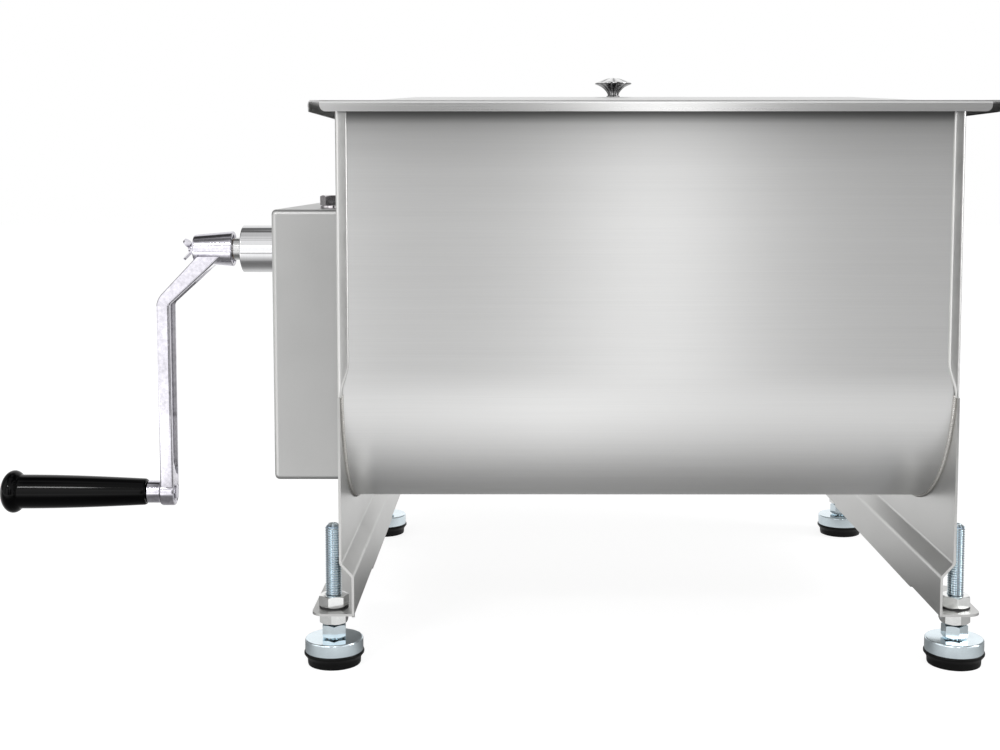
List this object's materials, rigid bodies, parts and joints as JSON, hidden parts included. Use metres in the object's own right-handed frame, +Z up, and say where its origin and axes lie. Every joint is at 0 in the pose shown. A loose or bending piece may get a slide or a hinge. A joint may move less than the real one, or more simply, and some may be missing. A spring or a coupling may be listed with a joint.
{
  "type": "hand-cranked meat mixer",
  "caption": "Free-standing stainless tank with rounded twin bowls, a loose lid, a side gear case with a hand crank, and levelling feet.",
  "frame": {"origin": "middle of the whole part's footprint, on the floor that the pads stand on", "axes": "+X along the mixing shafts, away from the crank; +Y from the front to the back; +Z up"},
  "size_m": [0.6596, 0.371, 0.3674],
  "materials": {
    "tank_steel": "brushed along the tank",
    "plate_steel": "satin",
    "case_steel": "satin",
    "lid_steel": "brushed",
    "inner_steel": "machined",
    "dark_bolt": "polished",
    "polished_collar": "polished",
    "bronze": "machined",
    "seal_rubber": "smooth",
    "clamp_nut": "satin",
    "knob_chrome": "polished",
    "shaft_steel": "turned",
    "gear_steel": "machined, oiled",
    "arm_chrome": "chromed casting",
    "grip_plastic": "gloss",
    "paddle_steel": "satin",
    "zinc_steel": "bright zinc plate",
    "foot_rubber": "smooth"
  },
  "bodies": {
    "root": {"tank": "tank_steel", "left_end_plate": "plate_steel", "right_end_plate": "plate_steel", "gear_case": "case_steel", "case_brackets": "inner_steel", "case_bolts": "dark_bolt", "case_washers": "dark_bolt", "crank_collar": "polished_collar", "collar_nut": "inner_steel", "crank_bush": "bronze", "crank_pilot": "inner_steel", "idler_axle": "inner_steel", "idler_clip": "gear_steel", "left_bearing_bosses": "inner_steel", "left_bearing_bushes": "bronze", "shaft_seals": "seal_rubber", "right_bearing_cups": "inner_steel", "right_bearing_bushes": "bronze", "cup_studs": "inner_steel", "cup_nuts": "inner_steel", "upper_foot_nuts": "clamp_nut", "lower_foot_nuts": "clamp_nut"},
    "lid": {"lid": "lid_steel", "lid_edges": "lid_steel", "lid_knob": "knob_chrome", "lid_knob_screw": "inner_steel"},
    "crank": {"crankshaft": "shaft_steel", "crank_pinion": "gear_steel", "pinion_key": "gear_steel", "pinion_clips": "gear_steel", "crank_arm": "arm_chrome", "crank_wing_screw": "arm_chrome", "grip_spindle": "arm_chrome"},
    "grip": {"handle_grip": "grip_plastic"},
    "idler": {"idler_gear": "gear_steel", "idler_bush": "bronze"},
    "front_mixer": {"front_mixing_shaft": "shaft_steel", "front_paddles": "paddle_steel", "front_paddle_pins": "paddle_steel", "front_shaft_gear": "gear_steel", "front_gear_key": "gear_steel", "front_gear_nut": "inner_steel"},
    "rear_mixer": {"rear_mixing_shaft": "shaft_steel", "rear_paddles": "paddle_steel", "rear_paddle_pins": "paddle_steel", "rear_shaft_gear": "gear_steel", "rear_gear_key": "gear_steel", "rear_gear_nut": "inner_steel"},
    "front_left_foot": {"front_left_foot_stud": "zinc_steel"},
    "front_left_foot_base": {"front_left_foot_cup": "zinc_steel", "front_left_foot_pad": "foot_rubber"},
    "front_right_foot": {"front_right_foot_stud": "zinc_steel"},
    "front_right_foot_base": {"front_right_foot_cup": "zinc_steel", "front_right_foot_pad": "foot_rubber"},
    "rear_left_foot": {"rear_left_foot_stud": "zinc_steel"},
    "rear_left_foot_base": {"rear_left_foot_cup": "zinc_steel", "rear_left_foot_pad": "foot_rubber"},
    "rear_right_foot": {"rear_right_foot_stud": "zinc_steel"},
    "rear_right_foot_base": {"rear_right_foot_cup": "zinc_steel", "rear_right_foot_pad": "foot_rubber"}
  },
  "joints": [
    {"name": "lid_lift", "type": "slide", "parent": "root", "child": "lid", "axis": [0, 0, 1], "range_m": [0, 0.15]},
    {"name": "front_shaft_spin", "type": "hinge", "parent": "root", "child": "front_mixer", "pos_m": [0, -0.084, 0.183], "axis": [1, 0, 0], "continuous": true},
    {"name": "rear_shaft_spin", "type": "hinge", "parent": "root", "child": "rear_mixer", "pos_m": [0, 0.084, 0.183], "axis": [1, 0, 0], "continuous": true},
    {"name": "idler_spin", "type": "hinge", "parent": "root", "child": "idler", "pos_m": [0, 0, 0.183], "axis": [1, 0, 0], "continuous": true},
    {"name": "crank_turn", "type": "hinge", "parent": "root", "child": "crank", "pos_m": [0, 0, 0.246], "axis": [1, 0, 0], "continuous": true},
    {"name": "grip_spin", "type": "hinge", "parent": "crank", "child": "grip", "pos_m": [-0.27875, 0, 0.0705], "axis": [1, 0, 0], "continuous": true},
    {"name": "front_left_foot_height", "type": "slide", "parent": "root", "child": "front_left_foot", "axis": [0, 0, -1], "range_m": [0, 0.04]},
    {"name": "front_left_foot_tilt", "type": "hinge", "parent": "front_left_foot", "child": "front_left_foot_base", "pos_m": [-0.06895, -0.16, 0.0126], "axis": [0, 1, 0], "range_deg": [-4, 4]},
    {"name": "front_right_foot_height", "type": "slide", "parent": "root", "child": "front_right_foot", "axis": [0, 0, -1], "range_m": [0, 0.04]},
    {"name": "front_right_foot_tilt", "type": "hinge", "parent": "front_right_foot", "child": "front_right_foot_base", "pos_m": [0.31145, -0.16, 0.0126], "axis": [0, 1, 0], "range_deg": [-4, 4]},
    {"name": "rear_left_foot_height", "type": "slide", "parent": "root", "child": "rear_left_foot", "axis": [0, 0, -1], "range_m": [0, 0.04]},
    {"name": "rear_left_foot_tilt", "type": "hinge", "parent": "rear_left_foot", "child": "rear_left_foot_base", "pos_m": [-0.06895, 0.16, 0.0126], "axis": [0, 1, 0], "range_deg": [-4, 4]},
    {"name": "rear_right_foot_height", "type": "slide", "parent": "root", "child": "rear_right_foot", "axis": [0, 0, -1], "range_m": [0, 0.04]},
    {"name": "rear_right_foot_tilt", "type": "hinge", "parent": "rear_right_foot", "child": "rear_right_foot_base", "pos_m": [0.31145, 0.16, 0.0126], "axis": [0, 1, 0], "range_deg": [-4, 4]}
  ],
  "couplings": [
    {"joint": "rear_shaft_spin", "follows": "front_shaft_spin", "ratio": 1},
    {"joint": "idler_spin", "follows": "front_shaft_spin", "ratio": -1.1538},
    {"joint": "crank_turn", "follows": "front_shaft_spin", "ratio": 1.875}
  ]
}
